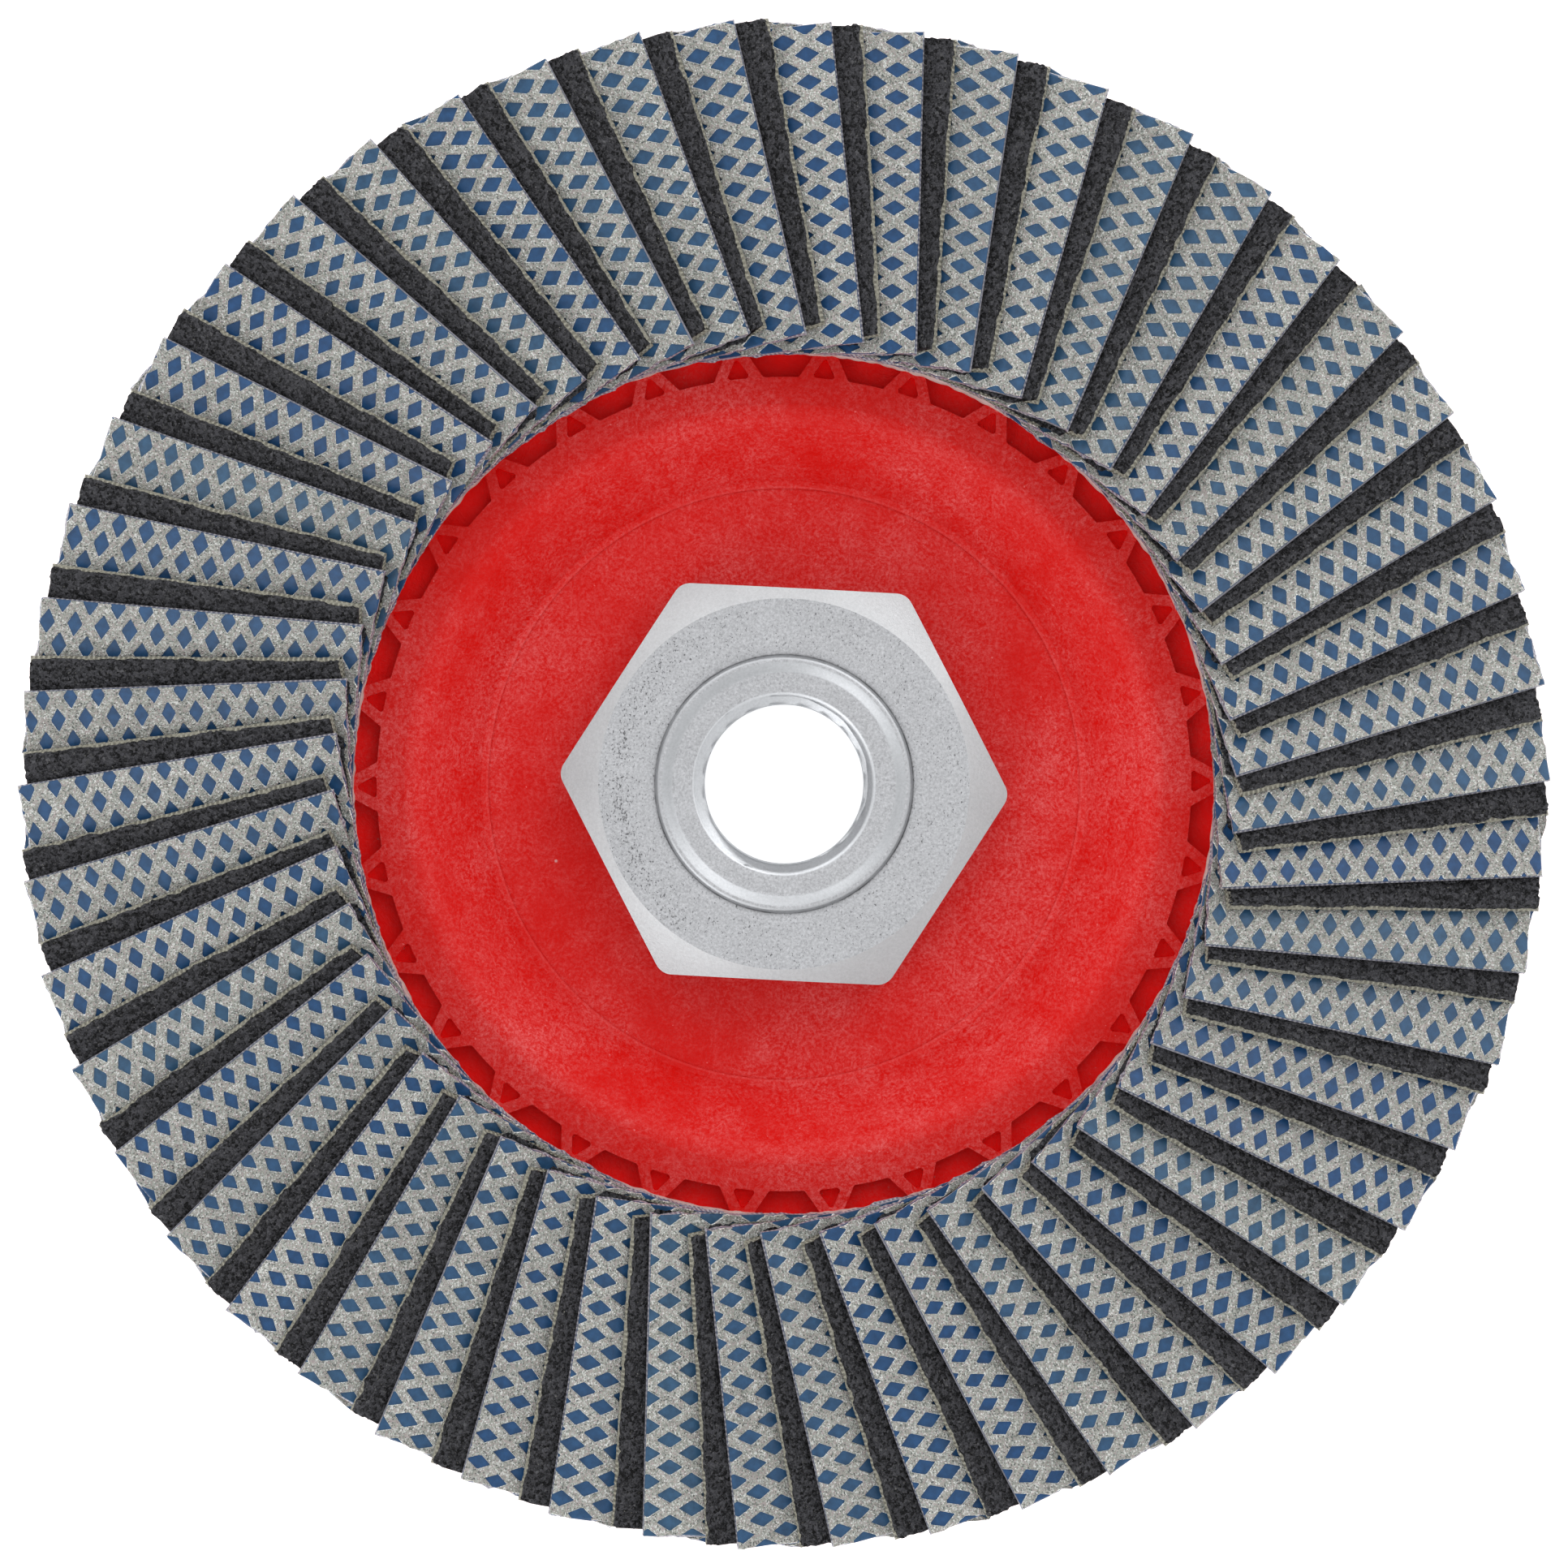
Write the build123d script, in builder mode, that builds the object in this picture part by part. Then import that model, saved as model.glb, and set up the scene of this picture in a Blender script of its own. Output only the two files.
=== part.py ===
from build123d import *
import os
from math import sqrt

# Abrasive flap disc, nominal 125 mm (5 in), for an angle grinder.
# A fibre-filled plastic backing plate with a depressed centre is clamped between the rear flange
# of a threaded steel sleeve and a hex collar, and the sleeve's front lip is rolled over the collar.
# A ring of glue on the plate's rim holds the flaps. They overlap like shingles: each one rests on
# the next flap clockwise, and diamond-lattice flaps alternate with plain grit flaps.
#
# Origin: centre of the sleeve's rear flange face. +Z: the spin axis, towards the working face.
# +X: through a corner of the hex collar. All lengths are in millimetres.

# --- heights, from the rear flange face up --------------------------------------------------
FLANGE_THICKNESS = 1.6
CENTRE_TOP = FLANGE_THICKNESS + 3.2  # front face of the plate's flat centre
COLLAR_HEIGHT = 7.2
COLLAR_TOP = CENTRE_TOP + COLLAR_HEIGHT
RIM_THICKNESS = 3.0
RIM_TOP = 10.2
RIM_BOTTOM = RIM_TOP - RIM_THICKNESS
GLUE_THICKNESS = 0.8
GLUE_TOP = RIM_TOP + GLUE_THICKNESS

# --- threaded sleeve: 5/8-11 UNC, bored here at the thread's minor diameter -------------------
THREAD_MINOR_RADIUS = 6.75
SLEEVE_RADIUS = 9.5
FLANGE_RADIUS = 18.5
FLANGE_EDGE_ROUND = 0.5
LIP_RADIUS = 10.85  # the rolled lip, where it fills the collar's countersink
LIP_CROWN_RADIUS = 10.2
LIP_CROWN_RISE = 0.45  # above the collar's face
MOUTH_CHAMFER = 0.85
SHAFT_CLEARANCE = 0.1  # round the sleeve, in the plate and in the collar
SHAFT_HOLE_RADIUS = SLEEVE_RADIUS + SHAFT_CLEARANCE

# --- hex collar -----------------------------------------------------------------------------
HEX_ACROSS_FLATS = 33.0
HEX_CORNER_ROUND = 1.5
HEX_CROWN_RADIUS = 15.6  # the corner chamfer starts here on the front face
HEX_BLANK_RADIUS = 20.0  # of the cone that cuts the corner chamfers
HEX_CHAMFER_DROP = 2.5  # over the whole cone: 30 degrees
DISH_RADIUS = 11.65  # the front face is pressed down inside this radius, round the lip
DISH_DEPTH = 0.15
COUNTERSINK_RADIUS = LIP_RADIUS + SHAFT_CLEARANCE - DISH_DEPTH  # at the dish's bottom

# --- backing plate --------------------------------------------------------------------------
PLATE_RADIUS = 57.0
STEP_RADIUS = 25.1
STEP_TOP = CENTRE_TOP + 0.3
FRONT_CONE = (25.7, 31.0)  # radius at the foot and at the crest
REAR_CONE = (26.6, 32.2)
CREST_ROUND = 2.5
FOOT_ROUND = 1.2
EDGE_ROUND = 0.8
POCKET_DEPTH = 1.6
POCKET_INNER_RADIUS = 34.3
TRUSS_CROSSING_RADIUS = 37.1  # the ribs cross in pairs here
TRUSS_REACH = TRUSS_CROSSING_RADIUS - POCKET_INNER_RADIUS
TRUSS_PERIODS = 30
TRUSS_RIB_WIDTH = 0.9
TRUSS_RIB_LEAN = 29.0  # degrees off the radial direction, both ways
TRUSS_START_ANGLE = 3.3
POCKET_CORNER_ROUND = 0.25

# --- ring of glue ---------------------------------------------------------------------------
GLUE_RADII = (36.15, 56.0)

# --- flaps ----------------------------------------------------------------------------------
# A flap is a strip of coated cloth. Its root edge lies on the glue and its free edge is raised,
# more at the inner end, where the flaps crowd together, so the strip is slightly twisted.
# Along the strip runs its heading, and its offset is measured clockwise from that line.
FREE_EDGE_OFFSET = 10.3
OUTER_REACH = 62.98  # of a flap's outer end, along the heading
INNER_RISE = 9.61  # of a lattice flap's free edge over the glue
OUTER_RISE = 5.58
PAIR_PITCH = 7.2  # degrees from one lattice flap to the next: 50 of each kind
FLAPS_PER_NODE = 2
NODES_PER_KIND = 25


class FlapKind:
    """One kind of flap: its first heading, where its inner end lies along the heading, cloth
    width, thickness, and how far its free edge sits lower than a lattice flap's."""

    def __init__(self, name, heading, inner_reach, width, thickness, drop):
        self.name = name
        self.heading = heading
        self.inner_reach = inner_reach
        self.width = width
        self.thickness = thickness
        self.drop = drop


FLAP_KINDS = (
    FlapKind("diamond_flaps", 5.0, inner_reach=36.1, width=22.0, thickness=0.65, drop=0.0),
    FlapKind("grit_flaps", 2.45, inner_reach=36.72, width=20.6, thickness=1.0, drop=0.5),
)


def finish_piece(part, name):
    """Labels a piece and writes its STEP file."""
    part.label = name
    export_step(part, f"parts/{name}.step")


def make_sleeve():
    """Threaded sleeve: rear flange, barrel, and the front lip rolled over the collar."""
    flare_start = COLLAR_TOP - (LIP_RADIUS - SLEEVE_RADIUS)
    mouth_radius = THREAD_MINOR_RADIUS + MOUTH_CHAMFER
    outline = (
        (SLEEVE_RADIUS, COLLAR_TOP, 0),
        (mouth_radius, COLLAR_TOP, 0),
        (THREAD_MINOR_RADIUS, COLLAR_TOP - MOUTH_CHAMFER, 0),
        (THREAD_MINOR_RADIUS, MOUTH_CHAMFER, 0),
        (mouth_radius, 0, 0),
        (FLANGE_RADIUS, 0, FLANGE_EDGE_ROUND),
        (FLANGE_RADIUS, FLANGE_THICKNESS, FLANGE_EDGE_ROUND),
        (SLEEVE_RADIUS, FLANGE_THICKNESS, 0),
        (SLEEVE_RADIUS, flare_start, 0),
        (LIP_RADIUS, COLLAR_TOP, 0),
    )
    with BuildPart() as sleeve:
        with BuildSketch(Plane.XZ):
            with BuildLine():
                FilletPolyline(
                    [point[:2] for point in outline],
                    radius=[point[2] for point in outline[1:-1]],
                )
                ThreePointArc(
                    (LIP_RADIUS, COLLAR_TOP),
                    (LIP_CROWN_RADIUS, COLLAR_TOP + LIP_CROWN_RISE),
                    (SLEEVE_RADIUS, COLLAR_TOP),
                )
            make_face()
        revolve(axis=Axis.Z)
    finish_piece(sleeve.part, "threaded_sleeve")


def make_collar():
    """Hex collar with chamfered front corners and a dished countersink for the sleeve's lip."""
    with BuildPart() as collar:
        with BuildSketch(Plane.XY.offset(CENTRE_TOP)):
            hexagon = RegularPolygon(HEX_ACROSS_FLATS / 2, side_count=6, major_radius=False)
            fillet(hexagon.vertices(), radius=HEX_CORNER_ROUND)
        extrude(amount=COLLAR_HEIGHT)
        with BuildSketch(Plane.XZ):
            with BuildLine():
                Polyline(
                    (0, CENTRE_TOP),
                    (HEX_BLANK_RADIUS, CENTRE_TOP),
                    (HEX_BLANK_RADIUS, COLLAR_TOP - HEX_CHAMFER_DROP),
                    (HEX_CROWN_RADIUS, COLLAR_TOP),
                    (DISH_RADIUS, COLLAR_TOP),
                    (COUNTERSINK_RADIUS, COLLAR_TOP - DISH_DEPTH),
                    (0, COLLAR_TOP - DISH_DEPTH),
                    close=True,
                )
            make_face()
        revolve(axis=Axis.Z, mode=Mode.INTERSECT)
        with Locations((0, 0, COLLAR_TOP - DISH_DEPTH)):
            CounterSinkHole(SHAFT_HOLE_RADIUS, COUNTERSINK_RADIUS, counter_sink_angle=90)
    finish_piece(collar.part, "hex_collar")


def make_backing_plate():
    """Plate with a depressed centre, a cone up to the flat rim, and truss pockets in the rim."""
    outline = (
        (SHAFT_HOLE_RADIUS, FLANGE_THICKNESS, 0),
        (REAR_CONE[0], FLANGE_THICKNESS, CREST_ROUND),
        (REAR_CONE[1], RIM_BOTTOM, FOOT_ROUND),
        (PLATE_RADIUS, RIM_BOTTOM, EDGE_ROUND),
        (PLATE_RADIUS, RIM_TOP, EDGE_ROUND),
        (FRONT_CONE[1], RIM_TOP, CREST_ROUND),
        (FRONT_CONE[0], STEP_TOP, 0),
        (STEP_RADIUS, STEP_TOP, 0),
        (STEP_RADIUS, CENTRE_TOP, 0),
        (SHAFT_HOLE_RADIUS, CENTRE_TOP, 0),
    )
    with BuildPart() as plate:
        with BuildSketch(Plane.XZ):
            with BuildLine():
                FilletPolyline(
                    [point[:2] for point in outline],
                    radius=[point[2] for point in outline],
                    close=True,
                )
            make_face()
        revolve(axis=Axis.Z)
        with BuildSketch(Plane.XY.offset(RIM_TOP)) as pockets:
            Circle(TRUSS_CROSSING_RADIUS + TRUSS_REACH)
            Circle(POCKET_INNER_RADIUS, mode=Mode.SUBTRACT)
            with PolarLocations(TRUSS_CROSSING_RADIUS, TRUSS_PERIODS, start_angle=TRUSS_START_ANGLE):
                for lean in (-TRUSS_RIB_LEAN, TRUSS_RIB_LEAN):
                    Rectangle(3 * TRUSS_REACH, TRUSS_RIB_WIDTH, rotation=lean, mode=Mode.SUBTRACT)
            fillet(pockets.vertices(), radius=POCKET_CORNER_ROUND)
        extrude(amount=-POCKET_DEPTH, mode=Mode.SUBTRACT)
    finish_piece(plate.part, "backing_plate")


def make_glue_ring():
    """Bed of cured glue between the plate's rim and the flaps' roots."""
    with BuildPart() as glue:
        with BuildSketch(Plane.XY.offset(RIM_TOP)):
            Circle(GLUE_RADII[1])
            Circle(GLUE_RADII[0], mode=Mode.SUBTRACT)
        extrude(amount=GLUE_THICKNESS)
    finish_piece(glue.part, "glue_ring")


def end_edge(kind, reach, rise):
    """Root and free corners of one end of a flap's underside, with the heading along +X."""
    plan_width = sqrt(kind.width**2 - rise**2)
    free = Vector(reach, -FREE_EDGE_OFFSET, GLUE_TOP + rise)
    root = Vector(reach, plan_width - FREE_EDGE_OFFSET, GLUE_TOP)
    return root, free


def make_flaps(kind):
    """All flaps of one kind, two neighbours to a node."""
    inner_edge = end_edge(kind, kind.inner_reach, INNER_RISE - kind.drop)
    outer_edge = end_edge(kind, OUTER_REACH, OUTER_RISE - kind.drop)
    length = (outer_edge[0] + outer_edge[1]) - (inner_edge[0] + inner_edge[1])
    with BuildPart() as flap:
        for root, free in (inner_edge, outer_edge):
            across = (free - root).normalized()
            up = length.cross(across) * -1
            with BuildSketch(Plane(root, x_dir=across, z_dir=across.cross(up))):
                Rectangle(kind.width, kind.thickness, align=(Align.MIN, Align.MIN))
        loft(ruled=True)
    for index in range(NODES_PER_KIND):
        start = kind.heading + index * FLAPS_PER_NODE * PAIR_PITCH
        with BuildPart() as flaps:
            with PolarLocations(
                0, FLAPS_PER_NODE, start_angle=start, angular_range=FLAPS_PER_NODE * PAIR_PITCH
            ):
                add(flap.part)
        finish_piece(flaps.part, f"{kind.name}_{index + 1:02d}")


os.makedirs("parts", exist_ok=True)
make_sleeve()
make_collar()
make_backing_plate()
make_glue_ring()
for flap_kind in FLAP_KINDS:
    make_flaps(flap_kind)
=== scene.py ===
"""Looks of the abrasive flap disc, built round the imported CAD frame. Metres, +Z towards the work."""

import functools
import math

import bmesh
import bpy
import numpy as np
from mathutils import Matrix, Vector


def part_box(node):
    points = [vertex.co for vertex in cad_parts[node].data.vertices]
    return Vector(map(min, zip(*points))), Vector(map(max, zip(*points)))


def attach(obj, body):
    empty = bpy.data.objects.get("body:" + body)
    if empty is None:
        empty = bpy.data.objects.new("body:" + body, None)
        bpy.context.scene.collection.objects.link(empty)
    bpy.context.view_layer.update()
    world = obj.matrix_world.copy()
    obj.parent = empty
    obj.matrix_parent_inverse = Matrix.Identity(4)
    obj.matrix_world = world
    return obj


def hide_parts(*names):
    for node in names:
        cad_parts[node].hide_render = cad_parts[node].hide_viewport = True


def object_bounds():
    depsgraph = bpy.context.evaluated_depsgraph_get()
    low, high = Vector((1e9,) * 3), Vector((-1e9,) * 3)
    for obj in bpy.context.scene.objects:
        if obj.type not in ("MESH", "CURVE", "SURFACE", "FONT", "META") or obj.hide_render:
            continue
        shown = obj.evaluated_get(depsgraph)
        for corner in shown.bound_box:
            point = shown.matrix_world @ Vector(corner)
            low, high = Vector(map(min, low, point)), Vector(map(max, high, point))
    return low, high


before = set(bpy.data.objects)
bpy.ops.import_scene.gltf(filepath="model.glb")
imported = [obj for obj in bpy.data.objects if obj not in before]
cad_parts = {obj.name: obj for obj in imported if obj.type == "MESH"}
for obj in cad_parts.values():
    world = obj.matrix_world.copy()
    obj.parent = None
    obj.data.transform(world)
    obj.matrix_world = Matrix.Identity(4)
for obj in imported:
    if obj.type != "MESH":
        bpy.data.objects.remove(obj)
CAD_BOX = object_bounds()

MM = 0.001
TURN = 2 * math.pi
SEED = 41

# --- camera, straight above the working face -----------------------------------------------------
CAMERA_HEIGHT = 0.717
FRAMED_WIDTH = 0.1308  # what the view spans at the height FRAMED_LEVEL
FRAMED_LEVEL = 0.017
CAMERA_ROLL = math.radians(2.9)
SENSOR_WIDTH = 36.0

# --- flaps, in millimetres: the CAD's own driving dimensions -------------------------------------
FREE_EDGE_OFFSET = 10.3
OUTER_REACH = 62.98
INNER_RISE = 9.61
OUTER_RISE = 5.58
PAIR_PITCH = 7.2
FLAPS_PER_NODE = 2
NODES_PER_KIND = 25
GLUE_BOTTOM, GLUE_TOP = (corner.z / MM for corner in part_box("glue_ring"))

# --- how single flaps differ, in millimetres -----------------------------------------------------
END_SHIFT = 0.2  # they lie up to this much further in or out
NARROWING = 0.25  # and are up to this much narrower
STRIP_SPACING = 40.0  # between the places of two flaps in their materials' patterns

# --- lattice of grit on a diamond flap, in millimetres -------------------------------------------
CELL_LENGTH = 2.33  # along the flap
CELL_WIDTH = 3.85  # across it
HOLE_SHARES = (0.53, 0.61)  # of the cell, from flap to flap
LOOP_POINTS = 12  # of a cell's outline, three at each corner
CORNER_CUT = 0.10  # of a cell's edge, where the hole's corners are rounded
CORNER_PULL = 0.6  # how far the middle point of a corner moves in, of the cut
MOUTH_SHARE = 0.04  # the hole is this much wider at its mouth
RIM_SHARE = 0.03  # and its rim is rounded over this much more
RIM_DROP = 0.05
LATTICE_TURN = 3.0  # degrees, either way
EDGE_WANDER = 0.022
RESIN_LEVEL = 0.45
BACK_CUTS = 8
END_BANDS = ((-0.1, 0.1), (0.1, 0.4), (0.4, 1.0))  # heights of cloth, resin and grit at an end
END_SPLAY = (0.2, 0.1, 0.0)  # how far each of them sticks out
END_FRAY = 0.07
END_FRAY_STEP = 0.45
LIT_WALL = (0.63, 0.56)  # between these heights the wall of a hole is painted paler, a painted highlight
POINT_MERGE = 1e-4
SLIVER_MERGE = 4e-3
END_REACH = 5e-3  # points this near to a cut end belong to it
CUT_TOLERANCE = 1e-5

# --- grit flap, in millimetres -------------------------------------------------------------------
GRAIN_STEP = 0.22
GRAIN_DEPTH = 0.2
GRAIN_WANDER = (0.03, 0.02)  # of the grains' places, along and across
SHOWN_WIDTH = 5.8  # of the strip, from its free edge
HIDDEN_STEPS = 5
LEDGE = 0.2  # cloth that shows past the grit along the free edge
COAT_FOOT = 0.7  # the coat ends here, of the ledge from the free edge
COAT_SWELL = 0.1  # over the middle of its side
CLOTH_START = 0.4  # of the ledge from the free edge
CLOTH_LIP = 0.85  # of the cloth's height, at the free edge
LEDGE_WANDER = 0.09
LEDGE_WAVE = 0.9  # length of its waves
LEDGE_THREADS = 0.45  # share of single threads in its wander
LEDGE_SIZES = (1.0, 1.0, 0.8, 0.8)  # how much of the wander each of its columns takes
DRIFT_STEP = 0.35  # of the slow sway of the whole ledge, from station to station
DRIFT_LIMIT = 3.0
DRIFT_SHARE = 0.6
END_WANDER = 0.2
CORNER_WEAR = 0.35
CORNER_REACH = 0.7
INNER_LIP_PLACES = (1.4, 2.0, 9.0)  # from the free edge
INNER_LIP = (0.0, 0.8, 0.4)  # how far the inner end sticks out there, under the next flap

# --- layers of a flap, as its faces are marked ---------------------------------------------------
CLOTH = 0.0
RESIN = 1.0
GRAIN = 2.0
EDGE = 3.0  # cut through all layers

# --- sleeve, in millimetres ----------------------------------------------------------------------
SLEEVE_TOP = 12.0
SLEEVE_RADIUS = 9.5
FLANGE_RADIUS = 18.5
FLANGE_THICKNESS = 1.6
FLANGE_ROUNDING = 0.5
FLANGE_FILLET = 0.1
REAR_FACE_RING = 12.0  # rings of points that split the flat faces
FRONT_FACE_RING = 8.6
LIP_RADIUS = 10.85
LIP_EDGE = 0.04  # under the front face
LIP_CROWN = (  # radius, and rise over the sleeve's front face
    (10.83, 0.10),
    (10.76, 0.24),
    (10.65, 0.35),
    (10.50, 0.42),
    (10.36, 0.44),
    (10.22, 0.41),
    (9.66, 0.14),
    (9.52, 0.06),
    (9.40, 0.02),
    (9.25, 0.0),
)
MOUTH_RADIUS = 7.6
MOUTH_BREAK = 0.05  # of the edges of both mouths
FRONT_BREAK = 0.12  # across the front face
BORE_START = 0.1  # under the front face
THREAD_MINOR = 6.75
THREAD_MAJOR = 7.94
THREAD_PITCH = 25.4 / 11
THREAD_CREST = 0.25  # of the pitch
THREAD_ROOT = 0.125
THREAD_STEPS = 20  # for one pitch
SLEEVE_SECTORS = 144

# --- glue, in millimetres ------------------------------------------------------------------------
GLUE_RADII = (36.15, 56.0)
GLUE_STEPS = (0.0, 0.15, 0.5, 1.2, 4.0, 10.0)  # outwards from its inner edge
GLUE_SINK = 0.08  # under the top of the CAD's ring
GLUE_INSET = 0.02  # of the inner edge
GLUE_UNDERCUT = 0.03
GLUE_OUTER_DROP = 0.1
BEAD_DROP = 0.35  # from the bed to the inner edge
BEAD_FALL = 6.0  # how steeply it falls, per millimetre
GLUE_WAVES = 26
GLUE_CALM = 5  # the sum of the waves is divided by this
GLUE_WAVE_COUNTS = (9, 190)  # round the ring
GLUE_WAVE_SIZES = (0.3, 1.0)
GLUE_WANDER = 0.08  # of the inner edge
GLUE_LUMPS = 0.06  # of the top
GLUE_SECTORS = 720

# --- places that the materials follow, in metres -------------------------------------------------
POCKET_RADII = (0.0338, 0.0372)
POCKET_LEVELS = (0.0073, 0.0100)
STEP_RADIUS = 0.0252
# Painted highlight: a pale line along the step in the plate, within these distances of STEP_RADIUS.
STEP_HIGHLIGHT = (0.00012, 0.00005)
CHIP_PLACE = (-0.019, -0.0075, 0.0049)  # a pale chip in the plate
CHIP_SIZE = 0.0002
PITTED_RADIUS = 0.0140  # here the collar's front face has the most pits
PITTED_REACH = 0.0016
PITTED_SIDE = (-0.004, -0.012)
CREVICE_RADIUS = 0.01086  # between the sleeve's lip and the collar, where a dark line of painted shade runs
CREVICE_WIDTH = (0.00010, 0.00003)
CREVICE_LEVEL = 0.0116
# Painted light: inside these radii the mouth and bore of the sleeve are painted paler.
MOUTH_LIGHT_FADE = (0.00775, 0.00765)

# --- smoothing: edges sharper than this stay sharp, in degrees -----------------------------------
CAD_SMOOTH = 28
DIAMOND_SMOOTH = 25
GRIT_SMOOTH = 60
SLEEVE_SMOOTH = 32
GLUE_SMOOTH = 50

# --- studio, in metres and watts -----------------------------------------------------------------
FLOOR_REACH = 3.0
FLOOR_GAP = 0.0002
FLOOR_GLOW = 0.66
WORLD_STRENGTH = 1.02
LIGHTS = (  # name, place, size, power
    ("key", (0.36, 0.56, 0.60), 0.6, 1.75),
    ("fill", (-0.42, -0.58, 0.52), 0.6, 1.65),
    ("side", (-0.38, 0.62, 0.50), 0.5, 0.9),
)


class FlapKind:
    """One kind of flap: its nodes, first heading, inner end, cloth width, height, and how far
    its free edge sits lower than a diamond flap's."""

    def __init__(self, node, heading, inner_reach, width, thickness, drop, cloth_level):
        self.node = node
        self.heading = heading
        self.length = OUTER_REACH - inner_reach
        self.width = width
        self.thickness = thickness
        self.cloth_level = cloth_level
        inner = self.end_edge(inner_reach, INNER_RISE - drop)
        outer = self.end_edge(OUTER_REACH, OUTER_RISE - drop)
        length = sum(outer) - sum(inner)
        self.ends = [self.end_frame(edge, length) for edge in (inner, outer)]

    def end_edge(self, reach, rise):
        """Root and free corners of one end of the underside, with the heading along +X."""
        plan_width = math.sqrt(self.width**2 - rise**2)
        root = np.array((reach, plan_width - FREE_EDGE_OFFSET, GLUE_TOP))
        free = np.array((reach, -FREE_EDGE_OFFSET, GLUE_TOP + rise))
        return root, free

    @staticmethod
    def end_frame(edge, length):
        """The root corner of one end, the direction across the strip, and its upward normal."""
        root, free = edge
        across = (free - root) / np.linalg.norm(free - root)
        up = np.cross(across, length)
        return root, across, up / np.linalg.norm(up)

    def place(self, strip, heading):
        """Points (along, across, height) of the flat strip, moved onto the flap, in metres."""
        share = strip[:, :1] / self.length
        near, far = (
            root + strip[:, 1:2] * across + strip[:, 2:3] * up for root, across, up in self.ends
        )
        points = near * (1 - share) + far * share
        cosine, sine = math.cos(heading), math.sin(heading)
        turn = np.array(((cosine, -sine, 0), (sine, cosine, 0), (0, 0, 1)))
        return points @ turn.T * MM


DIAMOND = FlapKind("diamond_flaps", 5.0, 36.1, width=22.0, thickness=0.65, drop=0.0, cloth_level=0.34)
GRIT = FlapKind("grit_flaps", 2.45, 36.72, width=20.6, thickness=1.0, drop=0.5, cloth_level=0.5)


class Strip:
    """Mesh of one flap as a flat strip: points (along, across, height), faces and their layers."""

    def __init__(self, points, faces, layers):
        self.points = np.array(points, float)
        self.faces = faces
        self.layers = layers


# --- meshes --------------------------------------------------------------------------------------


def cell_loop(share, jitter=0.0):
    """A cell's rhombus at a share of its size."""
    corners = ((1, 0), (0, 1), (-1, 0), (0, -1))
    half = np.array((CELL_LENGTH, CELL_WIDTH)) / 2
    loop = []
    for index, corner in enumerate(corners):
        here = np.array(corner, float)
        before = np.array(corners[index - 1], float)
        after = np.array(corners[(index + 1) % 4], float)
        rounding = CORNER_CUT if share < 1 else 0.0
        loop.append(here + (before - here) * CORNER_CUT)
        loop.append(here * (1 - rounding * CORNER_PULL))
        loop.append(here + (after - here) * CORNER_CUT)
    return np.array(loop) * half * share + jitter


def lattice_cells(generator):
    """The raised lattice and the resin in its holes, as points, faces and layers, untrimmed."""
    share = generator.uniform(*HOLE_SHARES)
    turn = math.radians(generator.uniform(-LATTICE_TURN, LATTICE_TURN))
    phase = generator.uniform(0, 1, 2)
    cosine, sine = math.cos(turn), math.sin(turn)
    turned = np.array(((cosine, sine), (-sine, cosine)))
    middle = np.array((DIAMOND.length, DIAMOND.width)) / 2
    columns = int(DIAMOND.length / CELL_LENGTH) + 4
    rows = int(DIAMOND.width / CELL_WIDTH) + 4
    points, faces, layers = [], [], []
    for column in range(-columns, columns):
        for row in range(-rows, rows):
            if (column + row) % 2:
                continue
            centre = (np.array((column, row)) + 2 * phase) * (CELL_LENGTH / 2, CELL_WIDTH / 2)
            centre = centre @ turned + middle
            if np.any(np.abs(centre - middle) >= middle + CELL_WIDTH):
                continue
            jitter = generator.normal(0, EDGE_WANDER, (LOOP_POINTS, 2))
            rings = (
                (cell_loop(1.0), DIAMOND.thickness),
                (cell_loop(share + MOUTH_SHARE + RIM_SHARE, jitter), DIAMOND.thickness),
                (cell_loop(share + MOUTH_SHARE, jitter), DIAMOND.thickness - RIM_DROP),
                (cell_loop(share, jitter), RESIN_LEVEL),
            )
            first = len(points)
            for loop, height in rings:
                points += [(*(point @ turned + centre), height) for point in loop]
            for start in range(first, len(points) - LOOP_POINTS, LOOP_POINTS):
                for step in range(LOOP_POINTS):
                    a = start + step
                    b = start + (step + 1) % LOOP_POINTS
                    faces.append((a, b, b + LOOP_POINTS, a + LOOP_POINTS))
                    layers.append(GRAIN)
            faces.append(tuple(range(len(points) - LOOP_POINTS, len(points))))
            layers.append(RESIN)
    return points, faces, layers


def trim(mesh, low, high):
    """Cuts a flat mesh to the rectangle from low to high."""
    cuts = (
        ((low[0], 0, 0), (-1, 0, 0)),
        ((high[0], 0, 0), (1, 0, 0)),
        ((0, low[1], 0), (0, -1, 0)),
        ((0, high[1], 0), (0, 1, 0)),
    )
    for place, outwards in cuts:
        bmesh.ops.bisect_plane(
            mesh,
            geom=mesh.verts[:] + mesh.edges[:] + mesh.faces[:],
            dist=CUT_TOLERANCE,
            plane_co=place,
            plane_no=outwards,
            clear_outer=True,
        )


def extrude_edges_to(mesh, edges, height, layer, mark):
    """Walls from a loop of edges down to a height. Returns the loop of edges at their foot."""
    made = bmesh.ops.extrude_edge_only(mesh, edges=edges)["geom"]
    for item in made:
        if isinstance(item, bmesh.types.BMVert):
            item.co.z = height
        elif isinstance(item, bmesh.types.BMFace):
            item[mark] = layer
    return [item for item in made if isinstance(item, bmesh.types.BMEdge) and item.is_boundary]


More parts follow.
